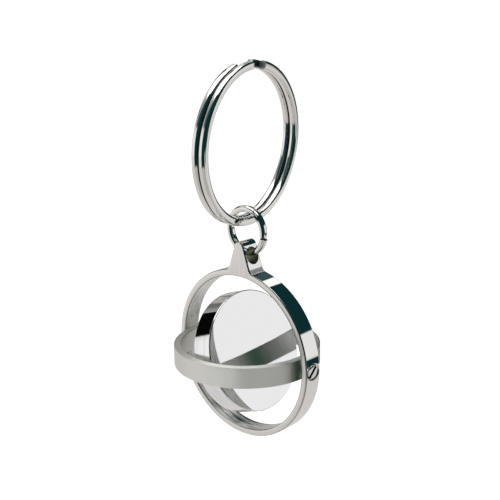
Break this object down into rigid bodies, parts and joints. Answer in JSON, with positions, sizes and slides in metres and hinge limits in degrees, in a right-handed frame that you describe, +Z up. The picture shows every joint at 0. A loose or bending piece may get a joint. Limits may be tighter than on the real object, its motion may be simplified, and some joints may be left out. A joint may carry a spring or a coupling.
{
  "type": "rotating keychain",
  "caption": "Split key ring and jump ring carrying a gimbal: a lugged frame ring, a middle ring pivoting in it on two screws, and a disc pivoting in that on a cross axis.",
  "frame": {"origin": "inside top of the split ring, midway between its two turns, where a hook or finger holds it", "axes": "+Z up, along the hanging keychain; -Y towards the frame ring's front face; X along the pivot screws"},
  "size_m": [0.033, 0.0302, 0.0718],
  "materials": {
    "polished_wire": "bright polished nickel",
    "polished_frame": "mirror-polished nickel, its faces finely satined",
    "screw_metal": "polished nickel",
    "satin_ring": "satin nickel, brushed round the ring",
    "mirror_disc": "mirror-polished nickel"
  },
  "bodies": {
    "key_ring": {"split_ring": "polished_wire"},
    "link": {"jump_ring": "polished_wire"},
    "frame": {"frame_ring": "polished_frame", "pivot_screw_right": "screw_metal", "pivot_screw_left": "screw_metal"},
    "gimbal": {"middle_ring": "satin_ring", "disc_pin_front": "satin_ring", "disc_pin_back": "satin_ring"},
    "medallion": {"disc": "mirror_disc"}
  },
  "joints": [
    {"name": "link_swing", "type": "hinge", "parent": "key_ring", "child": "link", "pos_m": [-0.00127, -0.0002, -0.02879], "axis": [-0.1409, 0.99, 0], "range_deg": [-70, 70]},
    {"name": "frame_swing", "type": "hinge", "parent": "link", "child": "frame", "pos_m": [-0.00114, -0.0002, -0.03402], "axis": [1, 0, 0], "range_deg": [-70, 70]},
    {"name": "gimbal_spin", "type": "hinge", "parent": "frame", "child": "gimbal", "pos_m": [-0.00144, -0.0004, -0.05367], "axis": [1, 0, 0], "continuous": true},
    {"name": "medallion_spin", "type": "hinge", "parent": "gimbal", "child": "medallion", "pos_m": [-0.00144, -0.0004, -0.05367], "axis": [0, 1, 0], "continuous": true}
  ]
}
